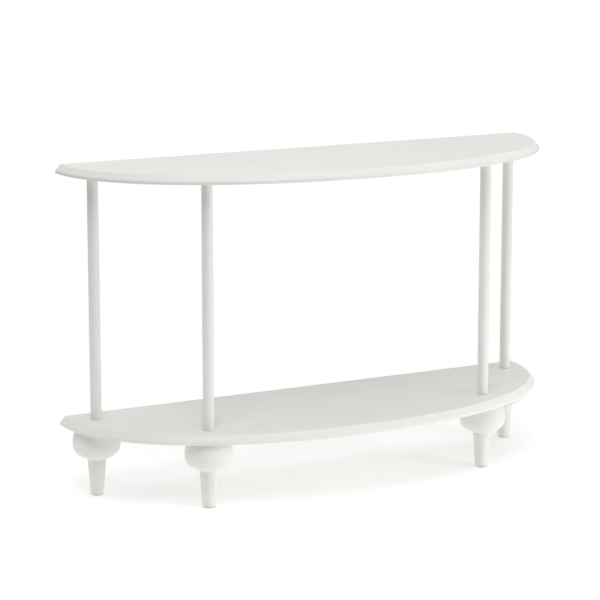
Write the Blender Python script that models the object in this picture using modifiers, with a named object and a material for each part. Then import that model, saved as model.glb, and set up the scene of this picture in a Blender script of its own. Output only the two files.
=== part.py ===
"""Half-moon console table: two boards, four round posts and four turned feet.

Run with: blender --background --python part.py

Everything is in metres and +Z is up. The floor is z = 0, the wall side faces +Y, and the
middle of the table's outline is on the Z axis. Each corner is one stack on one vertical
axis: glide, foot, hanger bolt through the shelf, post, hanger bolt into the top.
"""

import math

import bmesh
import bpy

# Overall sizes.
WIDTH = 1.21
DEPTH = 0.38
HEIGHT = 0.75
SHELF_TOP = 0.1757  # the shelf's upper face, above the floor

# What touches or screws together keeps this gap in the model.
GAP = 0.0003

# Boards. Both are cut to one outline from panel of one thickness.
BOARD_THICKNESS = 0.020
OUTLINE_FULLNESS = 2.16  # exponent of the half oval: 2 is an ellipse, more is squarer
OUTLINE_SEGMENTS = 72
CHAMFER_WIDTH = 0.012
CHAMFER_HEIGHT = 0.0135
BOARD_ARRIS = 0.0012

# Posts.
POST_RADIUS = 0.0125
POST_ARRIS = 0.0008

# Where the posts and feet stand. The balls stay this far inside the boards' edges.
BALL_TO_BACK_EDGE = 0.002
BALL_TO_BOARD_END = 0.0115
BALL_TO_CURVED_EDGE = 0.010  # along Y, at a front post
FRONT_POST_END_INSET = 0.252  # from the board's end to a front post's axis, along X

# Feet: a squashed ball, cut flat under the shelf, on a tapered round shank.
BALL_RADIUS = 0.054
BALL_DROP = 0.0345  # the widest line, below the foot's flat top
BALL_UPPER_HEIGHT = 0.050  # the upper half as it would be if it were not cut flat
BALL_LOWER_HEIGHT = 0.037
BALL_FULLNESS = 2.3
NECK_RADIUS = 0.0212
NECK_COVE = 0.004
TOE_RADIUS = 0.0152
TOE_ARRIS = 0.0012

# Nail glides under the feet.
GLIDE_THICKNESS = 0.004
GLIDE_MARGIN = 0.0017  # the glide's rim, inside the toe's rim
GLIDE_ARRIS = 0.001
NAIL_RADIUS = 0.0012
NAIL_LENGTH = 0.018
NAIL_HEAD_RADIUS = 0.0042
NAIL_HEAD_THICKNESS = 0.001
NAIL_HEAD_DEPTH = 0.0006  # how far the head sits above the floor

# Hanger bolts: a wood thread at one end and an M8 thread at the other.
BOLT_RADIUS = 0.004
BOLT_WOOD_LENGTH = 0.035
BOLT_POINT_LENGTH = 0.006
BOLT_POINT_RADIUS = 0.0012
BOLT_END_CHAMFER = 0.0008
BOLT_ENGAGEMENT = 0.0115  # the length of M8 thread inside a threaded insert

# Threaded inserts for the hanger bolts.
INSERT_RADIUS = 0.006
INSERT_LENGTH = 0.013
INSERT_RECESS = 0.0005
BORE_END_CLEARANCE = 0.001  # the space left past the end of what is in a blind bore

# Facets of the round pieces.
FOOT_STEPS = 32
GLIDE_STEPS = 24
POST_SIDES = 28
INSERT_STEPS = 18
BOLT_STEPS = 14
NAIL_STEPS = 10
UPPER_BALL_POINTS = 5
LOWER_BALL_POINTS = 8
COVE_POINTS = 3
CUTTER_SIDES = 28
SMOOTH_ANGLE = math.radians(35)
BEVEL_ANGLE = math.radians(30)
MERGE_DISTANCE = 0.00002
LEVEL_NORMAL = 0.9  # a face is level when its normal's Z is past this

# Heights and places worked out from the sizes above.
SHELF_BOTTOM = SHELF_TOP - BOARD_THICKNESS
TOP_BOTTOM = HEIGHT - BOARD_THICKNESS
POST_BOTTOM = SHELF_TOP + GAP
POST_TOP = TOP_BOTTOM - GAP
FOOT_TOP = SHELF_BOTTOM - GAP
FOOT_BOTTOM = GLIDE_THICKNESS + GAP
BALL_MIDDLE = FOOT_TOP - BALL_DROP
BACK_Y = DEPTH / 2
BACK_OVERRUN = 2 * CHAMFER_WIDTH  # a slab runs this far past its back edge until it is trimmed
BOLT_BORE_RADIUS = BOLT_RADIUS + GAP
BOLT_BORE_DEPTH = BOLT_WOOD_LENGTH + BORE_END_CLEARANCE
INSERT_BORE_RADIUS = INSERT_RADIUS + GAP
INSERT_BORE_DEPTH = INSERT_RECESS + INSERT_LENGTH + BORE_END_CLEARANCE
NAIL_HOLE_RADIUS = NAIL_RADIUS + GAP
NAIL_TOP = NAIL_HEAD_DEPTH + NAIL_HEAD_THICKNESS + NAIL_LENGTH


def half_oval_point(angle):
    """A point of the boards' curved edge; angle 0 is the +X end and pi is the -X end."""
    power = 2 / OUTLINE_FULLNESS
    x = math.copysign(abs(math.cos(angle)) ** power, math.cos(angle)) * WIDTH / 2
    y = BACK_Y - math.sin(angle) ** power * DEPTH
    return x, y


def curved_edge_y(x):
    """Where the boards' curved edge is, at this X."""
    share = 1 - (abs(x) / (WIDTH / 2)) ** OUTLINE_FULLNESS
    return BACK_Y - share ** (1 / OUTLINE_FULLNESS) * DEPTH


def corner_axes():
    """The four vertical axes that the posts and feet share, by corner name."""
    back_x = WIDTH / 2 - BALL_TO_BOARD_END - BALL_RADIUS
    back_y = BACK_Y - BALL_TO_BACK_EDGE - BALL_RADIUS
    front_x = WIDTH / 2 - FRONT_POST_END_INSET
    front_y = curved_edge_y(front_x) + BALL_TO_CURVED_EDGE + BALL_RADIUS
    return {
        "back_left": (-back_x, back_y),
        "back_right": (back_x, back_y),
        "front_left": (-front_x, front_y),
        "front_right": (front_x, front_y),
    }


def clear_scene():
    for old in list(bpy.data.objects):
        bpy.data.objects.remove(old, do_unlink=True)


def new_collection(name, hidden=False):
    collection = bpy.data.collections.new(name)
    collection.hide_render = hidden
    bpy.context.scene.collection.children.link(collection)
    return collection


def new_material(name, color, roughness, metallic=0.0):
    material = bpy.data.materials.new(name)
    material.use_nodes = True
    shader = material.node_tree.nodes["Principled BSDF"]
    shader.inputs["Base Color"].default_value = (*color, 1.0)
    shader.inputs["Roughness"].default_value = roughness
    shader.inputs["Metallic"].default_value = metallic
    return material


def board_lacquer():
    return new_material("board_white_lacquer", (0.84, 0.84, 0.82), 0.35)


def post_lacquer():
    return new_material("post_white_lacquer", (0.84, 0.84, 0.82), 0.38)


def foot_lacquer():
    return new_material("foot_white_lacquer", (0.83, 0.83, 0.81), 0.38)


def glide_plastic():
    return new_material("glide_white_plastic", (0.78, 0.78, 0.76), 0.5)


def zinc_plated_steel():
    return new_material("zinc_plated_steel", (0.62, 0.63, 0.66), 0.32, 1.0)


def yellow_zinc_steel():
    return new_material("yellow_zinc_steel", (0.62, 0.56, 0.38), 0.4, 1.0)


def add_object(name, mesh, collection, material, place=(0, 0, 0)):
    part = bpy.data.objects.new(name, mesh)
    part.location = place
    collection.objects.link(part)
    if material and not mesh.materials:
        mesh.materials.append(material)
    return part


def shade(mesh):
    mesh.shade_smooth()
    mesh.set_sharp_from_angle(angle=SMOOTH_ANGLE)


def turned_mesh(name, profile, closed=False):
    """Edges of a turning profile, as (radius, height) points down the outer side."""
    mesh = bpy.data.meshes.new(name)
    count = len(profile)
    edges = [(i, i + 1) for i in range(count - 1)]
    if closed:
        edges.append((count - 1, 0))
    mesh.from_pydata([(radius, 0, height) for radius, height in profile], edges, [])
    return mesh


def add_turned(name, mesh, steps, collection, material, place):
    """An object whose profile mesh is turned about its own Z axis."""
    part = add_object(name, mesh, collection, material, place)
    screw = part.modifiers.new("turn", "SCREW")
    screw.axis = "Z"
    screw.steps = steps
    screw.render_steps = steps
    screw.use_merge_vertices = True
    screw.merge_threshold = MERGE_DISTANCE
    screw.use_smooth_shade = True
    return part


def add_bevel(part, width, segments):
    bevel = part.modifiers.new("arris", "BEVEL")
    bevel.width = width
    bevel.segments = segments
    bevel.limit_method = "ANGLE"
    bevel.angle_limit = BEVEL_ANGLE


def add_cut(part, cutter):
    cut = part.modifiers.new("cut_" + cutter.name, "BOOLEAN")
    cut.operation = "DIFFERENCE"
    cut.solver = "EXACT"
    cut.object = cutter


def round_bar_mesh(name, radius, length, sides):
    """A cylinder standing on its own origin."""
    mesh = bpy.data.meshes.new(name)
    bar = bmesh.new()
    bmesh.ops.create_cone(
        bar, cap_ends=True, segments=sides, radius1=radius, radius2=radius, depth=length
    )
    bmesh.ops.translate(bar, vec=(0, 0, length / 2), verts=bar.verts)
    bar.to_mesh(mesh)
    bar.free()
    return mesh


def add_cutter(name, mesh, cutters, place):
    cutter = add_object(name, mesh, cutters, None, place)
    cutter.hide_render = True
    cutter.display_type = "WIRE"
    return cutter


def bore_cutter(name, radius, low, high, axis, cutters):
    """A round cutter from height low to height high on a corner's axis."""
    mesh = round_bar_mesh(name, radius, high - low, CUTTER_SIDES)
    return add_cutter(name, mesh, cutters, (*axis, low))


def slab_mesh(name):
    """The lip of a board as an extruded flat outline, run past the back edge for trimming."""
    points = [
        half_oval_point(math.pi * i / OUTLINE_SEGMENTS) for i in range(OUTLINE_SEGMENTS + 1)
    ]
    points.append((-WIDTH / 2, BACK_Y + BACK_OVERRUN))
    points.append((WIDTH / 2, BACK_Y + BACK_OVERRUN))
    curve = bpy.data.curves.new(name + "_outline", "CURVE")
    curve.dimensions = "2D"
    curve.fill_mode = "BOTH"
    curve.extrude = (BOARD_THICKNESS - CHAMFER_HEIGHT) / 2
    spline = curve.splines.new("POLY")
    spline.points.add(len(points) - 1)
    for knot, (x, y) in zip(spline.points, points):
        knot.co = (x, y, 0, 1)
    spline.use_cyclic_u = True
    outline = bpy.data.objects.new(name + "_outline", curve)
    bpy.context.scene.collection.objects.link(outline)
    bpy.context.view_layer.update()
    evaluated = outline.evaluated_get(bpy.context.evaluated_depsgraph_get())
    mesh = bpy.data.meshes.new_from_object(evaluated)
    bpy.data.objects.remove(outline, do_unlink=True)
    mesh.name = name
    return mesh


def chamfer_slab(mesh):
    """Stands the slab on z = 0 and raises its upper face, inset, into the chamfered edge."""
    slab = bmesh.new()
    slab.from_mesh(mesh)
    bmesh.ops.remove_doubles(slab, verts=slab.verts, dist=MERGE_DISTANCE)
    lip_height = BOARD_THICKNESS - CHAMFER_HEIGHT
    bmesh.ops.translate(slab, vec=(0, 0, lip_height / 2), verts=slab.verts)
    slab.normal_update()
    for up in (-1, 1):
        level = [face for face in slab.faces if face.normal.z * up > LEVEL_NORMAL]
        upper = bmesh.ops.dissolve_faces(slab, faces=level)["region"]
    bmesh.ops.inset_region(
        slab,
        faces=upper,
        thickness=CHAMFER_WIDTH,
        depth=CHAMFER_HEIGHT,
        use_even_offset=True,
    )
    bmesh.ops.recalc_face_normals(slab, faces=slab.faces)
    slab.to_mesh(mesh)
    slab.free()
    shade(mesh)


def back_trimmer(name, bottom, cutters):
    """A box behind the wall plane, which cuts a board's back edge straight."""
    reach = 2 * BACK_OVERRUN
    size = (WIDTH + reach, reach, BOARD_THICKNESS + reach)
    mesh = bpy.data.meshes.new(name)
    box = bmesh.new()
    bmesh.ops.create_cube(box, size=1)
    bmesh.ops.scale(box, vec=size, verts=box.verts)
    box.to_mesh(mesh)
    box.free()
    middle = (0, BACK_Y + reach / 2, bottom + BOARD_THICKNESS / 2)
    return add_cutter(name, mesh, cutters, middle)


def add_board(name, bottom, parts, cutters, lacquer):
    """A half-oval board with its chamfered curved edge and its straight back edge."""
    mesh = slab_mesh(name)
    chamfer_slab(mesh)
    board = add_object(name, mesh, parts, lacquer, (0, 0, bottom))
    add_cut(board, back_trimmer(name + "_back_trim", bottom, cutters))
    add_bevel(board, BOARD_ARRIS, 2)
    return board


def foot_profile():
    """The foot from its bolt bore, over the flat top, down the ball and shank, to its nail hole."""
    power = 2 / BALL_FULLNESS
    bore_bottom = FOOT_TOP - BOLT_BORE_DEPTH
    profile = [(0, bore_bottom), (BOLT_BORE_RADIUS, bore_bottom), (BOLT_BORE_RADIUS, FOOT_TOP)]
    top_angle = math.asin((BALL_DROP / BALL_UPPER_HEIGHT) ** (1 / power))
    for i in range(UPPER_BALL_POINTS):
        angle = top_angle * (1 - i / UPPER_BALL_POINTS)
        radius = BALL_RADIUS * math.cos(angle) ** power
        profile.append((radius, BALL_MIDDLE + BALL_UPPER_HEIGHT * math.sin(angle) ** power))
    cove_start = NECK_RADIUS + NECK_COVE
    neck_angle = math.acos((cove_start / BALL_RADIUS) ** (1 / power))
    for i in range(LOWER_BALL_POINTS + 1):
        angle = neck_angle * i / LOWER_BALL_POINTS
        radius = BALL_RADIUS * math.cos(angle) ** power
        profile.append((radius, BALL_MIDDLE - BALL_LOWER_HEIGHT * math.sin(angle) ** power))
    cove_top = profile[-1][1]
    for i in range(1, COVE_POINTS + 1):
        angle = math.pi / 2 * i / COVE_POINTS
        radius = cove_start - NECK_COVE * math.sin(angle)
        profile.append((radius, cove_top - NECK_COVE * (1 - math.cos(angle))))
    profile.append((TOE_RADIUS, FOOT_BOTTOM + TOE_ARRIS))
    profile.append((TOE_RADIUS - TOE_ARRIS, FOOT_BOTTOM))
    hole_top = NAIL_TOP + BORE_END_CLEARANCE
    profile.append((NAIL_HOLE_RADIUS, FOOT_BOTTOM))
    profile.append((NAIL_HOLE_RADIUS, hole_top))
    profile.append((0, hole_top))
    return profile


def glide_profile():
    """A flat ring with a recess under it for the nail's head, as a closed section."""
    rim = TOE_RADIUS - GLIDE_MARGIN
    recess_radius = NAIL_HEAD_RADIUS + GAP
    recess_top = NAIL_HEAD_DEPTH + NAIL_HEAD_THICKNESS + GAP
    return [
        (NAIL_HOLE_RADIUS, GLIDE_THICKNESS),
        (rim, GLIDE_THICKNESS),
        (rim, GLIDE_ARRIS),
        (rim - GLIDE_ARRIS, 0),
        (recess_radius, 0),
        (recess_radius, recess_top),
        (NAIL_HOLE_RADIUS, recess_top),
    ]


def nail_profile():
    """The glide's nail: its point is up in the foot and its head is in the glide's recess."""
    head_top = NAIL_HEAD_DEPTH + NAIL_HEAD_THICKNESS
    return [
        (0, NAIL_TOP),
        (NAIL_RADIUS, NAIL_TOP - 2 * NAIL_RADIUS),
        (NAIL_RADIUS, head_top),
        (NAIL_HEAD_RADIUS, head_top),
        (NAIL_HEAD_RADIUS, NAIL_HEAD_DEPTH),
        (0, NAIL_HEAD_DEPTH),
    ]


def hanger_bolt_profile(shoulder, machine_length):
    """A bolt with its wood thread below height shoulder and its M8 thread above it."""
    top = shoulder + machine_length
    bottom = shoulder - BOLT_WOOD_LENGTH
    return [
        (0, top),
        (BOLT_RADIUS - BOLT_END_CHAMFER, top),
        (BOLT_RADIUS, top - BOLT_END_CHAMFER),
        (BOLT_RADIUS, bottom + BOLT_POINT_LENGTH),
        (BOLT_POINT_RADIUS, bottom),
        (0, bottom),
    ]


def insert_profile(bottom):
    """A plain threaded sleeve, as a closed section."""
    top = bottom + INSERT_LENGTH
    return [
        (BOLT_BORE_RADIUS, top),
        (INSERT_RADIUS, top),
        (INSERT_RADIUS, bottom),
        (BOLT_BORE_RADIUS, bottom),
    ]


def add_posts(corners, parts, cutters, lacquer):
    """Round posts, bored for an insert at the bottom and for a hanger bolt at the top."""
    mesh = round_bar_mesh("post", POST_RADIUS, POST_TOP - POST_BOTTOM, POST_SIDES)
    shade(mesh)
    for corner, axis in corners.items():
        post = add_object(corner + "_post", mesh, parts, lacquer, (*axis, POST_BOTTOM))
        add_bevel(post, POST_ARRIS, 1)
        insert_bore = bore_cutter(
            corner + "_post_insert_bore",
            INSERT_BORE_RADIUS,
            POST_BOTTOM - BORE_END_CLEARANCE,
            POST_BOTTOM + INSERT_BORE_DEPTH,
            axis,
            cutters,
        )
        bolt_bore = bore_cutter(
            corner + "_post_bolt_bore",
            BOLT_BORE_RADIUS,
            POST_TOP - BOLT_BORE_DEPTH,
            POST_TOP + BORE_END_CLEARANCE,
            axis,
            cutters,
        )
        add_cut(post, insert_bore)
        add_cut(post, bolt_bore)


def bore_boards(top_board, shelf_board, corners, cutters):
    """A bolt hole through the shelf and a blind insert bore in the top, at each corner."""
    for corner, axis in corners.items():
        shelf_hole = bore_cutter(
            corner + "_shelf_hole",
            BOLT_BORE_RADIUS,
            SHELF_BOTTOM - BORE_END_CLEARANCE,
            SHELF_TOP + BORE_END_CLEARANCE,
            axis,
            cutters,
        )
        top_bore = bore_cutter(
            corner + "_top_insert_bore",
            INSERT_BORE_RADIUS,
            TOP_BOTTOM - BORE_END_CLEARANCE,
            TOP_BOTTOM + INSERT_BORE_DEPTH,
            axis,
            cutters,
        )
        add_cut(shelf_board, shelf_hole)
        add_cut(top_board, top_bore)


def add_feet(corners, parts, lacquer):
    mesh = turned_mesh("foot", foot_profile())
    for corner, axis in corners.items():
        add_turned(corner + "_foot", mesh, FOOT_STEPS, parts, lacquer, (*axis, 0))


def add_glides(corners, parts, plastic, steel):
    glide = turned_mesh("glide", glide_profile(), closed=True)
    nail = turned_mesh("glide_nail", nail_profile())
    for corner, axis in corners.items():
        add_turned(corner + "_glide", glide, GLIDE_STEPS, parts, plastic, (*axis, 0))
        add_turned(corner + "_glide_nail", nail, NAIL_STEPS, parts, steel, (*axis, 0))


def add_hanger_bolts(corners, parts, steel):
    """One bolt joins foot, shelf and post, and one joins the post to the top."""
    into_top = GAP + INSERT_RECESS + BOLT_ENGAGEMENT
    through_shelf = GAP + BOARD_THICKNESS + into_top
    foot_bolt = turned_mesh("foot_bolt", hanger_bolt_profile(FOOT_TOP, through_shelf))
    top_bolt = turned_mesh("top_bolt", hanger_bolt_profile(POST_TOP, into_top))
    for corner, axis in corners.items():
        add_turned(corner + "_foot_bolt", foot_bolt, BOLT_STEPS, parts, steel, (*axis, 0))
        add_turned(corner + "_top_bolt", top_bolt, BOLT_STEPS, parts, steel, (*axis, 0))


def add_inserts(corners, parts, alloy):
    in_post = turned_mesh("post_insert", insert_profile(POST_BOTTOM + INSERT_RECESS), closed=True)
    in_top = turned_mesh("top_insert", insert_profile(TOP_BOTTOM + INSERT_RECESS), closed=True)
    for corner, axis in corners.items():
        add_turned(corner + "_post_insert", in_post, INSERT_STEPS, parts, alloy, (*axis, 0))
        add_turned(corner + "_top_insert", in_top, INSERT_STEPS, parts, alloy, (*axis, 0))


def main():
    clear_scene()
    parts = new_collection("console_table")
    cutters = new_collection("cutters", hidden=True)
    corners = corner_axes()
    lacquer = board_lacquer()
    top_board = add_board("top_board", TOP_BOTTOM, parts, cutters, lacquer)
    shelf_board = add_board("shelf_board", SHELF_BOTTOM, parts, cutters, lacquer)
    bore_boards(top_board, shelf_board, corners, cutters)
    add_posts(corners, parts, cutters, post_lacquer())
    add_feet(corners, parts, foot_lacquer())
    steel = zinc_plated_steel()
    add_glides(corners, parts, glide_plastic(), steel)
    add_hanger_bolts(corners, parts, steel)
    add_inserts(corners, parts, yellow_zinc_steel())


main()
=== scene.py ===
"""Half-moon console table in white satin lacquer: two boards, four posts and four turned feet.

Everything is in metres and +Z is up. The floor is z = 0 and the wall side faces +Y. Each
corner of the table is one stack on one vertical axis: glide, foot, post, with the bolts and
inserts that hold it together inside.
"""

import logging
import math
from collections.abc import Callable
from dataclasses import dataclass, field
from enum import Enum

import bmesh
import bpy
from bpy.types import Material, Mesh, Node, NodeTree, Object
from bpy.types import NodeSocket as Socket
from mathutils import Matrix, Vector


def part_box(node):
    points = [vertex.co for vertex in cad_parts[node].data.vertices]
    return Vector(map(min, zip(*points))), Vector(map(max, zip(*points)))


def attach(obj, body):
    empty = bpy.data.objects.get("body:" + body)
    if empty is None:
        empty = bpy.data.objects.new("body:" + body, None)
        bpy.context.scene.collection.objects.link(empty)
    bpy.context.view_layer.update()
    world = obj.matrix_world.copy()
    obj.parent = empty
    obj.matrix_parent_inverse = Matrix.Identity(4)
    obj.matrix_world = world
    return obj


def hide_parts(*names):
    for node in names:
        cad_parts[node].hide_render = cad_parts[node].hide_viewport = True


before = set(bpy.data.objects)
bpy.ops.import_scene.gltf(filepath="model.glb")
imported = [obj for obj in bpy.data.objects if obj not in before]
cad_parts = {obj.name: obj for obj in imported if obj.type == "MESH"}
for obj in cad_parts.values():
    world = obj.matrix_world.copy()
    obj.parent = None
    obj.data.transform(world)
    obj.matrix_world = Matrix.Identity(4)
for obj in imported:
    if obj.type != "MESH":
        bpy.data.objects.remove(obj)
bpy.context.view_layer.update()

LOG = logging.getLogger("console_table")
ROOT = "root"
WEAR = "wear"  # point attribute: 1 on a sharp edge that hands and cloths rub, 0 elsewhere
PAINTED_SHADE = "hollow"  # point attribute: 1 where painted shade darkens a corner between parts, a crease or a recess, 0 elsewhere
SHARP_ANGLE = math.radians(35)
MERGE_DISTANCE = 0.000004
OPERATORS = {"add": "ADD", "sub": "SUBTRACT", "mul": "MULTIPLY", "truediv": "DIVIDE", "pow": "POWER"}
BOLT_BORE_RADIUS = 0.0043
BOLT_BORE_DEPTH = 0.036
INSERT_BORE_RADIUS = 0.0063
NAIL_HOLE_RADIUS = 0.0015
DRILL_OVERRUN = 0.01  # how far a drill passes the open end of a board's bore
INSERT_CLEARANCE = 0.001  # the space left above an insert in the top
UNSTRETCHED = (1.0, 1.0, 1.0)
PURE_WHITE = (1.0, 1.0, 1.0, 1.0)

Triple = tuple[float, float, float]


class GrainAxis(Enum):
    """The way that the wood's grain runs under the lacquer, as how far it is stretched."""

    ALONG_BOARD = (0.06, 1.0, 1.0)
    ALONG_POST = (1.0, 1.0, 0.045)


class Plating(Enum):
    """The zinc finishes of the fasteners: its darker and its lighter colour."""

    CLEAR = ((0.36, 0.38, 0.42), (0.68, 0.70, 0.74))
    YELLOW = ((0.45, 0.34, 0.14), (0.74, 0.66, 0.38))


@dataclass(frozen=True)
class Value:
    """One socket of a node tree as a number in Python maths: each operator adds a Math node.

    The operators of two values are added below, from OPERATORS.
    """

    graph: "Graph"
    socket: Socket

    def maths(self, operation: str, *others: "Value | float") -> "Value":
        """Adds a Math node.

        Args:
            operation: the Math node's operation.
            *others: what its sockets after the first take.

        Returns:
            The node's result.
        """
        sockets = dict(enumerate((self, *others)))
        return Value(self.graph, self.graph.out("ShaderNodeMath", {"operation": operation}, sockets))

    def __neg__(self) -> "Value":
        """The same value with its sign changed."""
        return self.maths("MULTIPLY", -1.0)

    def __abs__(self) -> "Value":
        """The value without its sign."""
        return self.maths("ABSOLUTE")

    def above(self, limit: "Value | float") -> "Value":
        """1 where the value is more than the limit, and 0 elsewhere."""
        return self.maths("GREATER_THAN", limit)

    def below(self, limit: "Value | float") -> "Value":
        """1 where the value is less than the limit, and 0 elsewhere."""
        return self.maths("LESS_THAN", limit)

    def between(self, low: float, high: float) -> "Value":
        """The value brought to a share of the way from low to high, from 0 to 1."""
        sockets = {"Value": self, "From Min": low, "From Max": high}
        node = self.graph.add("ShaderNodeMapRange", {"clamp": True}, sockets)
        return Value(self.graph, node.outputs["Result"])


def operator_for(operation: str, comes_second: bool) -> Callable[[Value, Value | float], Value]:
    """Makes an operator of Value.

    Args:
        operation: the Math node that it adds.
        comes_second: whether the value is on the operator's right.

    Returns:
        The operator.
    """

    def operator(value: Value, other: Value | float) -> Value:
        """The Math node's result."""
        pair = {0: other, 1: value} if comes_second else {0: value, 1: other}
        return Value(value.graph, value.graph.out("ShaderNodeMath", {"operation": operation}, pair))

    return operator


for word, operation in OPERATORS.items():
    setattr(Value, f"__{word}__", operator_for(operation, False))
    setattr(Value, f"__r{word}__", operator_for(operation, True))


@dataclass(frozen=True)
class Graph:
    """A node tree that is being written, for a material, a lathe or a board."""

    tree: NodeTree

    def add(self, kind: str, settings: dict | None = None, sockets: dict | None = None) -> Node:
        """Adds one node.

        Args:
            kind: the node's type.
            settings: its own properties, or "stops" for a ramp's places and colours.
            sockets: what its inputs take, by name or number: a value, a socket or a Value.

        Returns:
            The new node.
        """
        node = self.tree.nodes.new(kind)
        for name, setting in (settings or {}).items():
            if name == "stops":
                self.set_stops(node, setting)
            else:
                setattr(node, name, setting)
        for key, content in (sockets or {}).items():
            target = node.inputs[key]
            if isinstance(content, Value):
                self.tree.links.new(content.socket, target)
            elif isinstance(content, Socket):
                self.tree.links.new(content, target)
            else:
                target.default_value = content
        return node

    def out(self, kind: str, settings: dict | None = None, sockets: dict | None = None) -> Socket:
        """Adds one node and gives its first output."""
        return self.add(kind, settings, sockets).outputs[0]

    def set_stops(self, node: Node, stops: tuple[tuple[float, Triple], ...]) -> None:
        """Gives a colour ramp its stops.

        Args:
            node: the Color Ramp node.
            stops: each stop's place from 0 to 1, and its colour.
        """
        elements = node.color_ramp.elements
        while len(elements) < len(stops):
            elements.new(1.0)
        for element, (place, colour) in zip(elements, stops):
            element.position = place
            element.color = (*colour, 1.0)

    def value(self, socket: Socket) -> Value:
        """A socket as a Value."""
        return Value(self, socket)

    def point(self, x: Value | float, y: Value | float, z: Value | float) -> Socket:
        """Three values as one vector."""
        return self.out("ShaderNodeCombineXYZ", None, {0: x, 1: y, 2: z})

    def split(self, vector: Socket) -> list[Value]:
        """The three numbers of a vector."""
        node = self.add("ShaderNodeSeparateXYZ", None, {0: vector})
        return [self.value(socket) for socket in node.outputs]

    def noise(self, place: Socket, scale: float, detail: float, rough: float) -> Value:
        """Smooth noise in three dimensions.

        Args:
            place: the vector that the noise is read at.
            scale: how many features there are in a metre.
            detail: how many finer layers are added.
            rough: how strong the finer layers are.

        Returns:
            The noise, around one half.
        """
        sockets = {"Vector": place, "Scale": scale, "Detail": detail, "Roughness": rough}
        return self.value(self.out("ShaderNodeTexNoise", None, sockets))

    def blend(self, share: Value, first: Socket | Triple, second: Socket | Triple) -> Socket:
        """Mixes two colours.

        Args:
            share: how much of the second there is, from 0 to 1.
            first: a colour or a colour socket.
            second: a colour or a colour socket.

        Returns:
            The mixed colour.
        """
        ends = [end if isinstance(end, Socket) else (*end, 1.0) for end in (first, second)]
        settings = {"data_type": "RGBA", "clamp_factor": True}
        return self.add("ShaderNodeMix", settings, {0: share, 6: ends[0], 7: ends[1]}).outputs[2]

    def attribute(self, name: str) -> Value:
        """A number that the piece's mesh holds at its points."""
        node = self.add("ShaderNodeAttribute", {"attribute_name": name})
        return self.value(node.outputs["Fac"])

    def placed(self, centre: Vector, stretch: Triple) -> Socket:
        """Object coordinates, centred on a piece and stretched.

        Args:
            centre: the piece's middle.
            stretch: the scale along each axis.

        Returns:
            The vector to read patterns at.
        """
        where = self.add("ShaderNodeTexCoord").outputs["Object"]
        offset = tuple(-c * s for c, s in zip(centre, stretch))
        sockets = {"Vector": where, "Location": offset, "Scale": stretch}
        return self.out("ShaderNodeMapping", None, sockets)

    def stored(self, name: str, kind: str) -> Socket:
        """What a shape's points hold under a name."""
        return self.out("GeometryNodeInputNamedAttribute", {"data_type": kind}, {"Name": name})

    def store(self, shape: Socket, name: str, value: object, kind: str, where: dict) -> Socket:
        """Stores a value under a name at a shape's points, or at those that where selects."""
        sockets = {"Geometry": shape, "Name": name, "Value": value, **where}
        return self.out("GeometryNodeStoreNamedAttribute", {"data_type": kind}, sockets)

    def sample(self, shape: Socket, value: Socket, index: Value, kind: str) -> Socket:
        """What a value is at the point of a shape that has a number."""
        sockets = {"Geometry": shape, "Value": value, "Index": index}
        return self.out("GeometryNodeSampleIndex", {"data_type": kind}, sockets)

    def merged(self, shape: Socket) -> Socket:
        """The shape with the points that lie on each other made one."""
        sockets = {"Geometry": shape, "Distance": MERGE_DISTANCE}
        return self.out("GeometryNodeMergeByDistance", None, sockets)


@dataclass(frozen=True)
class Pattern:
    """Smooth noise, of which the part between two levels is spread from 0 to 1."""

    per_metre: float
    detail: float
    rough: float
    low: float
    high: float

    def read(self, graph: Graph, place: Socket) -> Value:
        """The pattern at a place."""
        noise = graph.noise(place, self.per_metre, self.detail, self.rough)
        return noise.between(self.low, self.high)


@dataclass(frozen=True)
class Coating:
    """A material with a Principled shader, and the graph that feeds it."""

    material: Material
    graph: Graph
    shader: Node

    @classmethod
    def new(cls, name: str, constants: dict[str, float]) -> "Coating":
        """Makes the material.

        Args:
            name: the material's name.
            constants: what the shader's sockets take where nothing feeds them.

        Returns:
            The coating.
        """
        material = bpy.data.materials.new(name)
        material.use_nodes = True
        graph = Graph(material.node_tree)
        shader = material.node_tree.nodes["Principled BSDF"]
        for socket, number in constants.items():
            shader.inputs[socket].default_value = number
        return cls(material, graph, shader)

    def feed(self, colour: Socket, rough: Value, relief: Value) -> None:
        """Links what changes over the surface to the shader.

        Args:
            colour: the base colour.
            rough: the roughness.
            relief: the height of the small bumps, in metres.
        """
        sockets = {"Strength": 1.0, "Distance": 1.0, "Height": relief}
        bump = self.graph.out("ShaderNodeBump", None, sockets)
        fed = {"Base Color": colour, "Roughness": rough.socket, "Normal": bump}
        for name, socket in fed.items():
            self.graph.tree.links.new(socket, self.shader.inputs[name])


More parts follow.
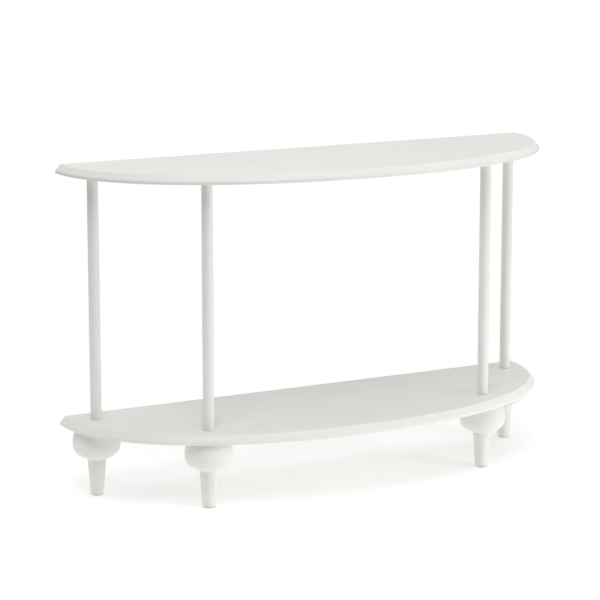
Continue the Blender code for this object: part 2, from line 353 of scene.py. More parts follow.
@dataclass(frozen=True)
class SatinLacquer:
    """White satin lacquer sprayed over close-grained wood, whose grain prints through a little, with
    painted shade darkening its corners, creases and recesses.
    """

    name: str
    grain: GrainAxis
    pale: Triple = (0.880, 0.876, 0.843)
    deep: Triple = (0.832, 0.826, 0.791)
    worn: Triple = (0.800, 0.770, 0.700)
    # the dark colour of the painted shade in corners where parts meet, creases and recesses
    shade_colour: Triple = (0.560, 0.545, 0.510)
    streaks: Pattern = Pattern(75.0, 5.0, 0.62, 0.34, 0.66)
    pores: Pattern = Pattern(337.5, 2.0, 0.5, 0.56, 0.74)
    scuffs: Pattern = Pattern(52.5, 3.0, 0.7, 0.5, 0.8)
    clouds: Pattern = Pattern(5.0, 3.0, 0.5, 0.3, 0.7)
    rubbing: Pattern = Pattern(60.0, 4.0, 0.6, 0.40, 0.70)
    # mottles the painted shade in patches
    shade_mottle: Pattern = Pattern(90.0, 4.0, 0.6, 0.15, 0.75)
    streak_share: float = 0.62
    cloud_share: float = 0.38
    worn_share: float = 0.45
    # how strongly the painted shade darkens the colour
    shade_share: float = 0.40
    roughness: float = 0.42
    peel_roughness: float = 0.05
    scuff_roughness: float = 0.05
    # how much the roughness rises where shade is painted
    shaded_roughness: float = 0.12
    worn_polish: float = 0.08
    orange_peel_per_metre: float = 420.0
    orange_peel_depth: float = 0.00003
    grain_depth: float = 0.00005
    rings_per_metre: float = 0.0
    ring_depth: float = 0.00004
    specular: float = 0.18
    coat: float = 0.05
    coat_roughness: float = 0.22

    def material(self, centre: Vector) -> Material:
        """Builds the finish for one piece.

        Args:
            centre: the piece's middle, where the pattern is centred.

        Returns:
            The material.
        """
        constants = {
            "Roughness": self.roughness,
            "Coat Weight": self.coat,
            "Coat Roughness": self.coat_roughness,
            "Specular IOR Level": self.specular,
        }
        coating = Coating.new(self.name, constants)
        graph = coating.graph
        place = graph.placed(centre, UNSTRETCHED)
        along = graph.placed(centre, self.grain.value)
        streaks = self.streaks.read(graph, along)
        tone = streaks * self.streak_share + self.clouds.read(graph, place) * self.cloud_share
        rubbed = graph.attribute(WEAR) * self.rubbing.read(graph, place)
        # painted shade: corners where parts meet, creases and recesses are darkened in mottled
        # patches
        shaded = graph.attribute(PAINTED_SHADE) * self.shade_mottle.read(graph, place)
        colour = graph.blend(tone, self.pale, self.deep)
        colour = graph.blend(rubbed * self.worn_share, colour, self.worn)
        # the painted shade darkens the colour there
        colour = graph.blend(shaded * self.shade_share, colour, self.shade_colour)
        peel = graph.noise(place, self.orange_peel_per_metre, 2.0, 0.45)
        scuffs = self.scuffs.read(graph, along)
        rough = self.roughness + peel * self.peel_roughness + scuffs * self.scuff_roughness
        # roughness rises a little where shade is painted and falls where edges are rubbed
        rough = rough + shaded * self.shaded_roughness - rubbed * self.worn_polish
        pores = self.pores.read(graph, along)
        relief = peel * self.orange_peel_depth + (streaks - pores) * self.grain_depth
        if self.rings_per_metre:
            relief = relief + self.turning_marks(graph, centre) * self.ring_depth
        coating.feed(colour, rough, relief)
        return coating.material

    def turning_marks(self, graph: Graph, centre: Vector) -> Value:
        """The faint rings, around one half, that the lathe tool leaves round a turned piece."""
        rings = graph.placed(centre, (0.02, 0.02, 1.0))
        return graph.noise(rings, self.rings_per_metre, 3.0, 0.55)


@dataclass(frozen=True)
class MouldedNylon:
    """White moulded nylon that has slid on floors: speckled, matt, and grey with scuffs below."""

    name: str = "glide_moulded_nylon"
    pale: Triple = (0.790, 0.785, 0.760)
    deep: Triple = (0.730, 0.722, 0.690)
    scuffed: Triple = (0.470, 0.455, 0.420)
    speckles: Pattern = Pattern(900.0, 3.0, 0.6, 0.35, 0.68)
    drags: Pattern = Pattern(1500.0, 4.0, 0.65, 0.42, 0.66)
    drag_stretch: Triple = (1.0, 0.08, 1.0)
    scuff_share: float = 0.7
    scuff_height: float = 0.0012
    half_height: float = 0.002
    roughness: float = 0.46
    speckle_roughness: float = 0.08
    scuff_roughness: float = 0.16
    speckle_depth: float = 0.00002
    scuff_depth: float = 0.00005
    glow_weight: float = 0.12
    glow_reach: float = 0.002

    def material(self, centre: Vector) -> Material:
        """Builds the finish for one glide.

        Args:
            centre: the glide's middle.

        Returns:
            The material.
        """
        constants = {
            "Roughness": self.roughness,
            "Subsurface Weight": self.glow_weight,
            "Subsurface Scale": self.glow_reach,
        }
        coating = Coating.new(self.name, constants)
        graph = coating.graph
        place = graph.placed(centre, UNSTRETCHED)
        speckle = self.speckles.read(graph, place)
        height = graph.split(place)[2]
        low = 1.0 - height.between(-self.half_height, self.scuff_height - self.half_height)
        scuffs = low * self.drags.read(graph, graph.placed(centre, self.drag_stretch))
        colour = graph.blend(speckle, self.pale, self.deep)
        colour = graph.blend(scuffs * self.scuff_share, colour, self.scuffed)
        rough = self.roughness + speckle * self.speckle_roughness + scuffs * self.scuff_roughness
        coating.feed(colour, rough, speckle * self.speckle_depth - scuffs * self.scuff_depth)
        return coating.material


@dataclass(frozen=True)
class PlatedSteel:
    """Turned steel with a thin zinc plating, clouded, drawn along its length and a little dull."""

    name: str
    plating: Plating
    roughness: float = 0.30
    clouds: Pattern = Pattern(140.0, 4.0, 0.6, 0.3, 0.7)
    blooms: Pattern = Pattern(520.0, 5.0, 0.7, 0.55, 0.75)
    bloom_colour: Triple = (0.62, 0.62, 0.60)
    ring_stretch: Triple = (0.03, 0.03, 1.0)
    rainbow: tuple[tuple[float, Triple], ...] = (
        (0.30, (0.62, 0.48, 0.20)),
        (0.50, (0.74, 0.66, 0.36)),
        (0.72, (0.66, 0.50, 0.44)),
    )

    def material(self, centre: Vector) -> Material:
        """Builds the finish for one fastener.

        Args:
            centre: the fastener's middle.

        Returns:
            The material.
        """
        dark, light = self.plating.value
        coating = Coating.new(self.name, {"Roughness": self.roughness})
        graph = coating.graph
        place = graph.placed(centre, UNSTRETCHED)
        clouds = self.clouds.read(graph, place)
        drawn = graph.noise(graph.placed(centre, self.ring_stretch), 2600.0, 3.0, 0.6)
        bloom = self.blooms.read(graph, place)
        colour = graph.blend(clouds * 0.7 + drawn * 0.3, dark, light)
        if self.plating is Plating.YELLOW:
            tint = graph.noise(place, 90.0, 2.0, 0.5)
            ramp = graph.out("ShaderNodeValToRGB", {"stops": self.rainbow}, {0: tint})
            colour = graph.blend(clouds * 0.4, ramp, colour)
        colour = graph.blend(bloom * 0.5, colour, self.bloom_colour)
        rough = self.roughness + drawn * 0.14 + bloom * 0.25
        coating.feed(colour, rough, drawn * 0.00003 + bloom * 0.00001)
        metal = 1.0 - bloom * 0.3
        graph.tree.links.new(metal.socket, coating.shader.inputs["Metallic"])
        return coating.material


@dataclass(frozen=True)
class GeometryTree:
    """A Geometry Nodes tree with named inputs, and the graph that writes it."""

    graph: Graph
    start: Node
    identifiers: dict[str, str]

    @classmethod
    def new(cls, name: str, inputs: dict[str, str]) -> "GeometryTree":
        """Makes an empty tree.

        Args:
            name: the tree's name.
            inputs: the socket type of each named input.

        Returns:
            The tree.
        """
        tree = bpy.data.node_groups.new(name, "GeometryNodeTree")
        tree.interface.new_socket("Geometry", in_out="INPUT", socket_type="NodeSocketGeometry")
        tree.interface.new_socket("Geometry", in_out="OUTPUT", socket_type="NodeSocketGeometry")
        identifiers = {}
        for label, kind in inputs.items():
            item = tree.interface.new_socket(label, in_out="INPUT", socket_type=kind)
            identifiers[label] = item.identifier
        graph = Graph(tree)
        return cls(graph, graph.add("NodeGroupInput"), identifiers)

    def given(self, label: str) -> Value:
        """A named input as a Value."""
        return self.graph.value(self.start.outputs[label])

    def finish(self, shape: Socket) -> None:
        """Closes the tree: real points, smooth faces, sharp edges, and the finish.

        Args:
            shape: the geometry to finish.
        """
        graph = self.graph
        real = graph.out("GeometryNodeRealizeInstances", None, {0: shape})
        smooth = {0: real, "Shade Smooth": True}
        faces = graph.out("GeometryNodeSetShadeSmooth", {"domain": "FACE"}, smooth)
        turn = graph.value(graph.add("GeometryNodeInputMeshEdgeAngle").outputs["Unsigned Angle"])
        sharp = {0: faces, "Selection": turn.above(SHARP_ANGLE), "Shade Smooth": False}
        edges = graph.out("GeometryNodeSetShadeSmooth", {"domain": "EDGE"}, sharp)
        finish = {0: edges, "Material": self.start.outputs["Finish"]}
        dressed = graph.out("GeometryNodeSetMaterial", None, finish)
        graph.add("NodeGroupOutput", None, {0: dressed})

    def run(self, name: str, seed_mesh: Mesh, sizes: dict[str, object]) -> Object:
        """Runs the tree once and keeps what it makes as a plain mesh.

        Args:
            name: the new piece's name.
            seed_mesh: the mesh that the tree starts from.
            sizes: what each named input takes.

        Returns:
            The new piece, with no modifier left on it.
        """
        piece = bpy.data.objects.new(name, seed_mesh)
        bpy.context.scene.collection.objects.link(piece)
        modifier = piece.modifiers.new("maker", "NODES")
        modifier.node_group = self.graph.tree
        for label, size in sizes.items():
            modifier[self.identifiers[label]] = size
        evaluated = piece.evaluated_get(bpy.context.evaluated_depsgraph_get())
        mesh = bpy.data.meshes.new_from_object(evaluated)
        piece.modifiers.remove(modifier)
        piece.data = mesh
        mesh.name = name
        self.face_outwards(mesh)
        return piece

    def face_outwards(self, mesh: Mesh) -> None:
        """Turns every face of a closed mesh outwards."""
        shell = bmesh.new()
        shell.from_mesh(mesh)
        bmesh.ops.recalc_face_normals(shell, faces=shell.faces)
        shell.to_mesh(mesh)
        shell.free()


def lathe_tree() -> GeometryTree:
    """A lathe: turns the section that it is given round a vertical axis.

    Returns:
        The tree, whose sizes are the number of steps and the axis's place.
    """
    kinds = {
        "Steps": "NodeSocketInt",
        "Axis X": "NodeSocketFloat",
        "Axis Y": "NodeSocketFloat",
        "Finish": "NodeSocketMaterial",
    }
    lathe = GeometryTree.new("lathe", kinds)
    graph = lathe.graph
    section = lathe.start.outputs["Geometry"]
    count = graph.add("GeometryNodeAttributeDomainSize", {"component": "MESH"}, {0: section})
    per_row = lathe.given("Steps") + 1.0
    sides = {"Vertices X": count.outputs["Point Count"], "Vertices Y": per_row}
    shape = graph.add("GeometryNodeMeshGrid", None, sides).outputs["Mesh"]
    index = graph.value(graph.out("GeometryNodeInputIndex"))
    row = ((index + 0.5) / per_row).maths("FLOOR")
    angle = (index - row * per_row) / lathe.given("Steps") * math.tau
    position = graph.out("GeometryNodeInputPosition")
    radius, _, height = graph.split(graph.sample(section, position, row, "FLOAT_VECTOR"))
    place = graph.point(
        lathe.given("Axis X") + radius * angle.maths("COSINE"),
        lathe.given("Axis Y") + radius * angle.maths("SINE"),
        height,
    )
    # carries each point's wear and its painted shade from the section to the turned piece
    for name in (WEAR, PAINTED_SHADE):
        taken = graph.sample(section, graph.stored(name, "FLOAT"), row, "FLOAT")
        shape = graph.store(shape, name, taken, "FLOAT", {})
    turned = graph.out("GeometryNodeSetPosition", None, {"Geometry": shape, "Position": place})
    lathe.finish(graph.merged(turned))
    return lathe


@dataclass
class Section:
    """The section of a turned piece: radius and height, going down its outer side."""

    points: list[tuple[float, float, float, float]] = field(default_factory=list)

    def to(self, radius: float, height: float, wear: float = 0.0, hollow: float = 0.0) -> None:
        """Adds one point.

        Args:
            radius: its distance from the axis.
            height: its height above the floor.
            wear: how much of a rubbed edge it is, from 0 to 1.
            hollow: how much painted shade darkens it, from 0 to 1.
        """
        self.points.append((radius, height, wear, hollow))

    def round_to(
        self,
        corner: tuple[float, float],
        before: tuple[float, float],
        after: tuple[float, float],
        reach: float,
        steps: int = 6,
        wear: float = 1.0,
        hollow: float = 0.0,
    ) -> None:
        """Adds a corner that is eased into a soft curve.

        Args:
            corner: where the two sides would meet.
            before: a point back along the side that comes in.
            after: a point on along the side that goes out.
            reach: how far the curve reaches along each side.
            steps: how many facets it has.
            wear: how rubbed it is at its middle.
            hollow: how much painted shade darkens it at its middle.
        """
        come, go = unit(corner, before), unit(corner, after)
        for i in range(steps + 1):
            share = i / steps
            back, on = (1 - share) ** 2 * reach, share**2 * reach
            amount = math.sin(share * math.pi)
            self.to(
                corner[0] + come[0] * back + go[0] * on,
                corner[1] + come[1] * back + go[1] * on,
                wear * amount,
                hollow * amount,
            )

    def mesh(self, name: str) -> Mesh:
        """The section as a mesh of edges in the XZ plane.

        Args:
            name: the mesh's name.

        Returns:
            The mesh, with the wear and the painted shade of each point.
        """
        made = bpy.data.meshes.new(name)
        places = [(radius, 0.0, height) for radius, height, _, _ in self.points]
        made.from_pydata(places, [(i, i + 1) for i in range(len(places) - 1)], [])
        for number, attribute in ((2, WEAR), (3, PAINTED_SHADE)):
            layer = made.attributes.new(attribute, "FLOAT", "POINT")
            layer.data.foreach_set("value", [point[number] for point in self.points])
        return made


def unit(start: tuple[float, float], end: tuple[float, float]) -> tuple[float, float]:
    """The direction from one point to another, of length 1."""
    x, y = end[0] - start[0], end[1] - start[1]
    length = math.hypot(x, y)
    return x / length, y / length


@dataclass
class Turned:
    """A piece that is turned on a lathe about a corner's axis, and stands for one CAD node."""

    node: str
    suffix: str
    finish_slot: str
    steps: int = 96
    axis: tuple[float, float] = (0.0, 0.0)
    low: float = 0.0
    high: float = 0.0
    radius: float = 0.0

    def measure(self) -> None:
        """Reads the axis, heights and radius from the CAD node's box."""
        first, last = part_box(self.node)
        self.axis = ((first.x + last.x) / 2, (first.y + last.y) / 2)
        self.low, self.high = first.z, last.z
        self.radius = (last.x - first.x) / 2

    def section(self) -> Section:
        """The piece's section, which each kind of piece gives."""
        raise NotImplementedError

    def middle(self) -> Vector:
        """The middle of the piece."""
        return Vector((*self.axis, (self.low + self.high) / 2))

    def build(self, lathe: GeometryTree, finish: SatinLacquer | MouldedNylon) -> Object:
        """Turns the piece and puts it in its place.

        Args:
            lathe: the lathe tree.
            finish: the finish that dresses it.

        Returns:
            The finished piece.
        """
        self.measure()
        sizes = {
            "Steps": self.steps,
            "Axis X": self.axis[0],
            "Axis Y": self.axis[1],
            "Finish": finish.material(self.middle()),
        }
        name = f"{self.node}_{self.suffix}"
        piece = lathe.run(name, self.section().mesh(name + "_section"), sizes)
        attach(piece, ROOT)
        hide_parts(self.node)
        LOG.info("%s: %d faces", name, len(piece.data.polygons))
        return piece


@dataclass
class Post(Turned):
    """A round post with eased ends, bored below for its insert and above for its top bolt."""

    suffix: str = "rod"
    finish_slot: str = "post_lacquer"
    arris: float = 0.0008
    # how far the painted shade reaches along the post from each end
    shaded_length: float = 0.006
    insert_bore_depth: float = 0.0145

    def section(self) -> Section:
        """The post's section, from its upper bore down its side to its lower bore."""
        made = Section()
        top, bottom, side = self.high, self.low, self.radius
        made.to(0.0, top - BOLT_BORE_DEPTH)
        made.to(BOLT_BORE_RADIUS, top - BOLT_BORE_DEPTH)
        made.to(BOLT_BORE_RADIUS, top)
        made.to(side - 2 * self.arris, top)
        made.round_to((side, top), (0.0, top), (side, bottom), self.arris)
        # painted shade next to the upper end, where the post meets the top
        made.to(side, top - 2 * self.arris, hollow=0.5)
        made.to(side, top - self.shaded_length)
        made.to(side, bottom + self.shaded_length)
        # painted shade next to the lower end, where the post meets the shelf
        made.to(side, bottom + 2 * self.arris, hollow=0.7)
        made.round_to((side, bottom), (side, top), (0.0, bottom), self.arris)
        made.to(side - 2 * self.arris, bottom)
        made.to(INSERT_BORE_RADIUS, bottom)
        made.to(INSERT_BORE_RADIUS, bottom + self.insert_bore_depth)
        made.to(0.0, bottom + self.insert_bore_depth)
        return made


@dataclass
class Foot(Turned):
    """A turned foot: a squashed ball, cut flat under the shelf, on a tapered round shank."""

    suffix: str = "turning"
    finish_slot: str = "foot_lacquer"
    steps: int = 112
    ball_drop: float = 0.0345
    ball_upper_height: float = 0.050
    ball_lower_height: float = 0.037
    ball_fullness: float = 2.3
    rim_ease: float = 0.0007
    # how far the painted shade under the shelf reaches down the ball
    shaded_height: float = 0.008
    neck_radius: float = 0.0212
    neck_support: float = 0.003
    cove: float = 0.004
    cove_steps: int = 12
    toe_radius: float = 0.0152
    toe_arris: float = 0.0012
    toe_supports: tuple[tuple[float, float], ...] = ((0.004, 0.2), (0.002, 0.5))
    nail_hole_top: float = 0.0206
    upper_points: int = 16
    lower_points: int = 26
    just_below: float = 1e-9

    def ball_point(self, angle: float) -> tuple[float, float]:
        """A point of the ball's section.

        Args:
            angle: above its widest line if positive, below it if negative.

        Returns:
            The point's radius and height.
        """
        power = 2 / self.ball_fullness
        rise = self.ball_upper_height if angle > 0 else -self.ball_lower_height
        middle = self.high - self.ball_drop
        radius = self.radius * math.cos(angle) ** power
        return radius, middle + rise * math.sin(abs(angle)) ** power

    def section(self) -> Section:
        """The foot's section, from its bolt bore over the ball to its nail hole."""
        made = Section()
        power = 2 / self.ball_fullness
        top = self.high
        made.to(0.0, top - BOLT_BORE_DEPTH)
        made.to(BOLT_BORE_RADIUS, top - BOLT_BORE_DEPTH)
        made.to(BOLT_BORE_RADIUS, top)
        top_angle = math.asin((self.ball_drop / self.ball_upper_height) ** (1 / power))
        angles = [top_angle * (1 - i / self.upper_points) for i in range(self.upper_points)]
        rim, after = self.ball_point(angles[0]), self.ball_point(angles[1])
        made.to(rim[0] - 4 * self.rim_ease, top)
        # painted shade where the ball meets the shelf, with a little wear on the rim
        made.round_to(rim, (0.0, top), after, self.rim_ease, steps=4, wear=0.2, hollow=1.0)
        # painted shade fades out down the ball's shoulder below the shelf
        for angle in angles[1:]:
            radius, height = self.ball_point(angle)
            made.to(radius, height, hollow=max(0.0, 1.0 - (top - height) / self.shaded_height))
        cove_start = self.neck_radius + self.cove
        neck_angle = math.acos((cove_start / self.radius) ** (1 / power))
        for i in range(self.lower_points):
            made.to(*self.ball_point(-neck_angle * i / self.lower_points - self.just_below))
        self.add_shank(made, self.ball_point(-neck_angle))
        return made

    def add_shank(self, made: Section, cove_top: tuple[float, float]) -> None:
        """Adds the cove, the taper, the toe and the nail hole.

        Args:
            made: the section so far.
            cove_top: where the ball's belly ends.
        """
        bottom = self.low
        # painted shade in the crease of the cove
        for i in range(self.cove_steps + 1):
            angle = math.pi / 2 * i / self.cove_steps
            radius = cove_top[0] - self.cove * math.sin(angle)
            height = cove_top[1] - self.cove * (1 - math.cos(angle))
            made.to(radius, height, hollow=math.sin(2 * angle))
        neck = (self.neck_radius, cove_top[1] - self.cove)
        toe = (self.toe_radius, bottom)
        down = unit(neck, toe)
        made.to(neck[0] + down[0] * self.neck_support, neck[1] + down[1] * self.neck_support)
        for reach, wear in self.toe_supports:
            made.to(toe[0] - down[0] * reach, toe[1] - down[1] * reach, wear)
        made.round_to(toe, neck, (0.0, bottom), self.toe_arris)
        made.to(self.toe_radius - 2 * self.toe_arris, bottom)
        made.to(NAIL_HOLE_RADIUS, bottom)
        made.to(NAIL_HOLE_RADIUS, self.nail_hole_top)
        made.to(0.0, self.nail_hole_top)


@dataclass
class Glide(Turned):
    """A nylon glide: a flat ring with a rounded rim and a recess below for its nail's head."""

    suffix: str = "disc"
    finish_slot: str = "glide_plastic"
    steps: int = 72
    rim_ease: float = 0.0010
    top_ease: float = 0.0004
    recess_radius: float = 0.0045
    recess_top: float = 0.0019
    recess_ease: float = 0.0003

    def section(self) -> Section:
        """The glide's section, all the way round the ring."""
        made = Section()
        top, bottom, rim = self.high, self.low, self.radius
        made.to(NAIL_HOLE_RADIUS, top)
        made.to(rim - 2 * self.top_ease, top)
        made.round_to((rim, top), (0.0, top), (rim, bottom), self.top_ease, steps=4)
        made.to(rim, bottom + 1.8 * self.rim_ease, wear=0.3)
        made.round_to((rim, bottom), (rim, top), (0.0, bottom), self.rim_ease)
        made.to(rim - 1.8 * self.rim_ease, bottom, wear=0.5)
        made.to(self.recess_radius + 2 * self.recess_ease, bottom)
        corner = (self.recess_radius, bottom)
        made.round_to(corner, (rim, bottom), (self.recess_radius, top), self.recess_ease, steps=3)
        # painted shade in the recess for the nail's head
        made.to(self.recess_radius, self.recess_top, hollow=1.0)
        made.to(NAIL_HOLE_RADIUS, self.recess_top)
        made.to(NAIL_HOLE_RADIUS, top)
        return made


@dataclass
class HalfMoonBoard:
    """A half-oval board: a broad chamfer over a short lip all along its curved edge."""

    node: str
    bore_low: float
    bore_high: float
    bore_radius: float
    bore_axes: list[tuple[float, float]]
    suffix: str = "panel"
    fullness: float = 2.16
    chamfer_width: float = 0.012
    chamfer_height: float = 0.0135
    arris: float = 0.0012
    corner_radius: float = 0.0016

    def build(self, maker: GeometryTree, finish: SatinLacquer) -> Object:
        """Shapes the board and puts it in its place.

        Args:
            maker: the board tree.
            finish: the lacquer that dresses it.

        Returns:
            The finished board.
        """
        low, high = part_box(self.node)
        axes = bpy.data.meshes.new(self.node + "_bolt_axes")
        middle = (self.bore_low + self.bore_high) / 2
        axes.from_pydata([(x, y, middle) for x, y in self.bore_axes], [], [])
        sizes = {
            "Width": high.x - low.x,
            "Depth": high.y - low.y,
            "Back": high.y,
            "Bottom": low.z,
            "Thickness": high.z - low.z,
            "Fullness": self.fullness,
            "Chamfer width": self.chamfer_width,
            "Chamfer height": self.chamfer_height,
            "Arris": self.arris,
            "Corner radius": self.corner_radius,
            "Bore radius": self.bore_radius,
            "Bore length": self.bore_high - self.bore_low,
            "Finish": finish.material((low + high) / 2),
        }
        name = f"{self.node}_{self.suffix}"
        board = maker.run(name, axes, sizes)
        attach(board, ROOT)
        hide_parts(self.node)
        LOG.info("%s: %d faces", name, len(board.data.polygons))
        return board


@dataclass
class BoardMaker:
    """Writes the tree that shapes a half-moon board, ring by ring, from its underside up."""

    edge_points: int = 361
    corner_points: int = 6
    arris_steps: int = 6
    support: float = 0.0006
    flat_support: float = 0.0030
    back_support: float = 0.0030
    least_corner: float = 0.0003
    bore_sides: int = 40

    def tree(self) -> GeometryTree:
        """Writes the tree.

        Returns:
            The tree, whose sizes are the board's and its bolt bores'.
        """
        labels = [
            "Width", "Depth", "Back", "Bottom", "Thickness", "Fullness", "Chamfer width",
            "Chamfer height", "Arris", "Corner radius", "Bore radius", "Bore length",
        ]
        kinds = {label: "NodeSocketFloat" for label in labels}
        kinds["Finish"] = "NodeSocketMaterial"
        made = GeometryTree.new("half_moon_board", kinds)
        graph = made.graph
        total = self.edge_points + 2 * self.corner_points + 2
        outline = {"Vertices": total, "Radius": 1.0}
        base = graph.add("GeometryNodeMeshCircle", {"fill_type": "NGON"}, outline)
        shape = self.store_outline(made, base.outputs["Mesh"])
        rings = self.rings(made)
        newest = {}
        shape = self.place_ring(made, shape, rings[0], newest)
        underside = graph.out("GeometryNodeFlipFaces", None, {0: shape})
        for ring in rings[1:]:
            sockets = {"Mesh": shape, "Offset Scale": 0.0, "Individual": False, **newest}
            raised = graph.add("GeometryNodeExtrudeMesh", {"mode": "FACES"}, sockets)
            newest = {"Selection": raised.outputs["Top"]}
            shape = self.place_ring(made, raised.outputs["Mesh"], ring, newest)
        joined = graph.add("GeometryNodeJoinGeometry", None, {0: shape})
        graph.tree.links.new(underside, joined.inputs[0])
        made.finish(self.bored(made, graph.merged(joined.outputs[0])))
        return made

    def store_outline(self, made: GeometryTree, shape: Socket) -> Socket:
        """Keeps, at each point of the outline, where it is and which way is inwards.

        Args:
            made: the board tree.
            shape: the flat outline, before its points are placed.

        Returns:
            The outline with "edge", "inward" and "corner" stored at its points.
        """
        graph = made.graph
        edge, corner = float(self.edge_points), float(self.corner_points)
        index = graph.value(graph.out("GeometryNodeInputIndex"))
        angle = (index / (edge - 1)).maths("MINIMUM", 1.0) * math.pi
        cosine, sine = angle.maths("COSINE"), abs(angle.maths("SINE"))
        side = cosine.maths("SIGN")
        power = 2.0 / made.given("Fullness")
        slope = 2.0 - power
        half = made.given("Width") / 2.0
        x = side * abs(cosine) ** power * half
        y = made.given("Back") - sine**power * made.given("Depth")
        out_x = side * abs(cosine) ** slope / half
        out_y = -(sine**slope / made.given("Depth"))
        length = (out_x * out_x + out_y * out_y) ** 0.5
        past = index - edge
        is_corner = past.above(-0.5)
        is_right = past.above(corner + 0.5)
        is_support = abs(past - corner - 0.5).below(0.75)
        left_share = (past + 1.0) / corner
        right_share = 1.0 - (past - corner - 2.0) / corner
        share = (left_share + is_right * (right_share - left_share)).maths("MINIMUM", 1.0)
        for name, vector in (
            ("edge", graph.point(x, y, is_corner)),
            ("inward", graph.point(-out_x / length, -out_y / length, is_support)),
            ("corner", graph.point(2.0 * is_right - 1.0, share, 0.0)),
        ):
            shape = graph.store(shape, name, vector, "FLOAT_VECTOR", {})
        return shape

    def rings(self, made: GeometryTree) -> list[tuple]:
        """The board's rings from its underside to its upper face.

        Args:
            made: the board tree.

        Returns:
            For each ring its inset and height on the curved side, its inset and height on the
            back, and its wear.
        """
        arris, thick = made.given("Arris"), made.given("Thickness")
        run, rise = made.given("Chamfer width"), made.given("Chamfer height")
        lip = thick - rise
        long = (run * run + rise * rise) ** 0.5
        lean = (run / long, rise / long)
        zero = arris * 0.0
        flat = arris + self.support * 2
        inner = flat + self.flat_support
        rings = [(inner, zero, inner, zero, 0.0), (flat, zero, flat, zero, 0.0)]
        for step in range(self.arris_steps + 1):
            inset, height = self.eased((zero, zero), (1.0, 0.0), (0.0, 1.0), arris, step)
            rings.append((inset, height, inset, height, self.rub(step)))
        low = arris + self.support
        rings.append((zero, low, zero, low, 0.0))
        rings.append((zero, lip - low, zero, lip - low, 0.0))
        for step in range(self.arris_steps + 1):
            inset, height = self.eased((zero, lip), (0.0, -1.0), lean, arris, step)
            rings.append((inset, height, zero, height, self.rub(step)))
        for reach in (low, long - low):
            inset, height = lean[0] * reach, lip + lean[1] * reach
            rings.append((inset, height, zero, height.maths("MINIMUM", thick - low), 0.0))
        back_way = (-lean[0], -lean[1])
        for step in range(self.arris_steps + 1):
            inset, height = self.eased((run, thick), back_way, (1.0, 0.0), arris, step)
            back = self.eased((zero, thick), (0.0, -1.0), (1.0, 0.0), arris, step)
            rings.append((inset, height, *back, self.rub(step)))
        rings.append((run + flat, thick, flat, thick, 0.0))
        rings.append((run + inner, thick, inner, thick, 0.0))
        return rings

    def eased(
        self, corner: tuple, back: tuple, on: tuple, reach: Value, step: int
    ) -> tuple[Value, Value]:
        """A point of an eased corner in the board's section.

        Args:
            corner: where the two faces would meet, as inset and height.
            back: the direction back along the face that comes in.
            on: the direction on along the face that goes out.
            reach: how far the easing reaches along each face.
            step: which point it is.

        Returns:
            The point's inset and height.
        """
        share = step / self.arris_steps
        first, last = (1 - share) ** 2, share**2
        inset = corner[0] + reach * (back[0] * first + on[0] * last)
        height = corner[1] + reach * (back[1] * first + on[1] * last)
        return inset, height

    def rub(self, step: int) -> float:
        """How rubbed an eased corner is at a step: most at its middle."""
        return math.sin(math.pi * step / self.arris_steps)

    def place_ring(self, made: GeometryTree, shape: Socket, ring: tuple, newest: dict) -> Socket:
        """Moves the newest ring of points to its place.

        Args:
            made: the board tree.
            shape: the board so far.
            ring: the ring's insets, heights and wear.
            newest: the Selection socket for the newest points, or nothing for all of them.

        Returns:
            The board with the ring in place.
        """
        graph = made.graph
        inset, height, back_inset, back_height, wear = ring
        names = ("edge", "inward", "corner")
        edge, inward, corner = (graph.split(graph.stored(name, "FLOAT_VECTOR")) for name in names)
        radius = (made.given("Corner radius") - back_inset).maths("MAXIMUM", self.least_corner)
        back = made.given("Back") - back_inset
        curve_x = edge[0] + inward[0] * inset
        curve_y = (edge[1] + inward[1] * inset).maths("MINIMUM", back - radius)
        turn = corner[1] * (math.pi / 2)
        reach = made.given("Width") / 2.0 - inset - radius
        reach = reach + radius * turn.maths("COSINE") - inward[2] * self.back_support
        corner_x = corner[0] * reach
        corner_y = back - radius + radius * turn.maths("SINE")
        x = curve_x + edge[2] * (corner_x - curve_x)
        y = curve_y + edge[2] * (corner_y - curve_y)
        z = made.given("Bottom") + height + edge[2] * corner[1] * (back_height - height)
        sockets = {"Geometry": shape, "Position": graph.point(x, y, z), **newest}
        placed = graph.out("GeometryNodeSetPosition", None, sockets)
        return graph.store(placed, WEAR, wear, "FLOAT", newest)

    def bored(self, made: GeometryTree, solid: Socket) -> Socket:
        """Bores a hole at each of the points that the tree starts from.

        Args:
            made: the board tree.
            solid: the closed board.

        Returns:
            The board with its bolt bores, and without the outline's stored vectors.
        """
        graph = made.graph
        radius, depth = made.given("Bore radius"), made.given("Bore length")
        sizes = {"Vertices": self.bore_sides, "Radius": radius, "Depth": depth}
        drill = graph.add("GeometryNodeMeshCylinder", None, sizes).outputs["Mesh"]
        places = {"Points": made.start.outputs["Geometry"], "Instance": drill}
        drills = graph.out("GeometryNodeInstanceOnPoints", None, places)
        real = graph.out("GeometryNodeRealizeInstances", None, {0: drills})
        settings = {"operation": "DIFFERENCE", "solver": "EXACT"}
        shape = graph.out("GeometryNodeMeshBoolean", settings, {"Mesh 1": solid, "Mesh 2": real})
        for name in ("edge", "inward", "corner"):
            sockets = {"Geometry": shape, "Name": name}
            shape = graph.out("GeometryNodeRemoveAttribute", None, sockets)
        return shape


